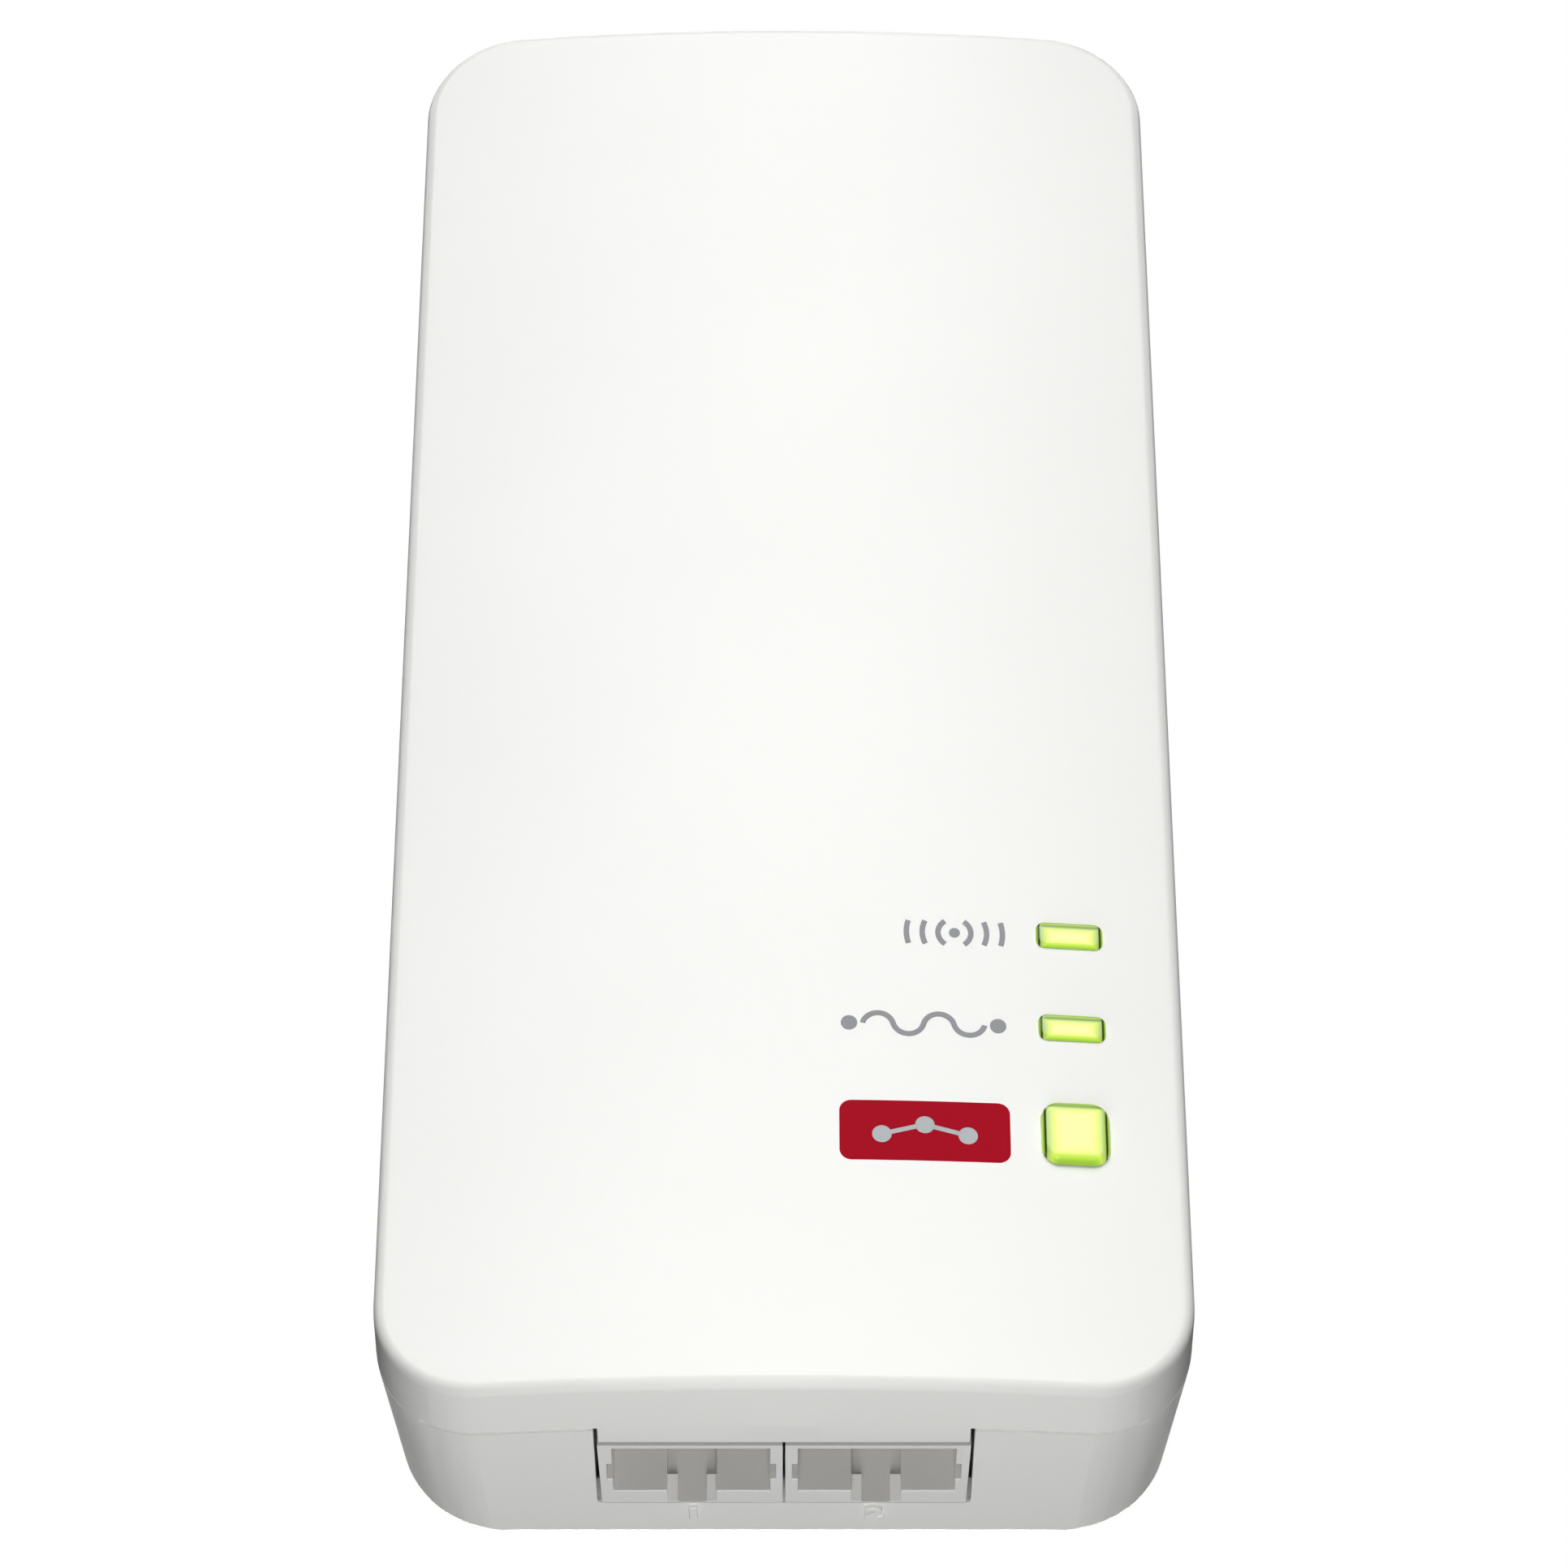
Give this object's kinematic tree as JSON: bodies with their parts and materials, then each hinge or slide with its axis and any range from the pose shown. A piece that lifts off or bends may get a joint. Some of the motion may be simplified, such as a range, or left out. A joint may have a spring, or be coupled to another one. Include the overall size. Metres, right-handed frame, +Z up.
{
  "type": "powerline adapter",
  "caption": "Plug-in mains network adapter: a slim crowned housing with LAN sockets in its lower end, lit status windows, a lit push button and a round mains plug body on its back.",
  "frame": {"origin": "centre of the plug's engagement face, midway between the two pins", "axes": "+Z up along the housing's length as it hangs in a wall socket, +Y into the wall along the pins, -Y the front, +X the side with the windows and the button"},
  "size_m": [0.0604, 0.0611, 0.1297],
  "materials": {
    "housing_white": "fine satin moulding",
    "carrier_grey": "moulded insulator",
    "pin_nickel": "nickel-plated brass",
    "lit_guide": "clear acrylic lit green",
    "socket_grey": "moulded socket plastic",
    "contact_gold": "gold-plated spring bronze",
    "board_green": "solder mask",
    "chip_black": "moulded epoxy",
    "spreader_metal": "extruded",
    "tin_plate": "tinned sheet",
    "screw_zinc": "zinc-plated",
    "led_clear": "clear package",
    "film_yellow": "moulded box",
    "disc_blue": "epoxy-dipped disc",
    "fuse_brown": "moulded cap",
    "sleeve_navy": "shrink sleeve over aluminium",
    "ferrite": "sintered ferrite",
    "copper_wire": "enamelled copper",
    "tape_yellow": "polyester tape",
    "barrier_fibre": "insulating fibre",
    "lead_sleeve": "insulated wire",
    "lead_brown": "insulated wire"
  },
  "bodies": {
    "housing": {"front_cover": "housing_white", "rear_housing": "housing_white", "plug_body": "housing_white", "pin_carrier": "carrier_grey", "line_pin": "pin_nickel", "neutral_pin": "pin_nickel", "wlan_light_guide": "lit_guide", "powerline_light_guide": "lit_guide", "housing_screws": "screw_zinc", "main_board": "board_green", "lan_jack_1": "socket_grey", "lan_jack_2": "socket_grey", "jack_contacts_1": "contact_gold", "jack_contacts_2": "contact_gold", "lan_transformers": "chip_black", "powerline_processor": "chip_black", "heat_spreader": "spreader_metal", "memory_chip": "chip_black", "flash_chip": "chip_black", "radio_shield": "tin_plate", "crystals": "tin_plate", "wlan_led": "led_clear", "powerline_led": "led_clear", "connect_led": "led_clear", "switch_body": "chip_black", "antenna_left": "board_green", "antenna_right": "board_green", "antenna_sockets": "contact_gold", "antenna_leads": "lead_sleeve", "board_screws": "screw_zinc", "board_header": "chip_black", "isolating_barrier": "barrier_fibre", "power_board": "board_green", "mains_leads": "lead_brown", "fuse": "fuse_brown", "varistor": "disc_blue", "filter_capacitor": "film_yellow", "choke_core": "ferrite", "choke_windings": "copper_wire", "bridge_rectifier": "chip_black", "bulk_capacitors": "sleeve_navy", "transformer_core": "ferrite", "transformer_winding": "tape_yellow", "switching_controller": "chip_black", "safety_capacitor": "disc_blue", "optocoupler": "chip_black", "output_capacitors": "sleeve_navy", "coupling_transformer": "ferrite", "coupling_capacitor": "film_yellow"},
    "button": {"connect_button": "lit_guide"},
    "plunger": {"switch_plunger": "chip_black"}
  },
  "joints": [
    {"name": "button_press", "type": "slide", "parent": "housing", "child": "button", "axis": [0, 1, 0], "range_m": [0, 0.0004], "stiffness_N_per_m": 1500, "springref_m": -0.0003},
    {"name": "plunger_press", "type": "slide", "parent": "housing", "child": "plunger", "axis": [0, 1, 0], "range_m": [0, 0.0004]}
  ],
  "couplings": [
    {"joint": "plunger_press", "follows": "button_press", "ratio": 1}
  ]
}
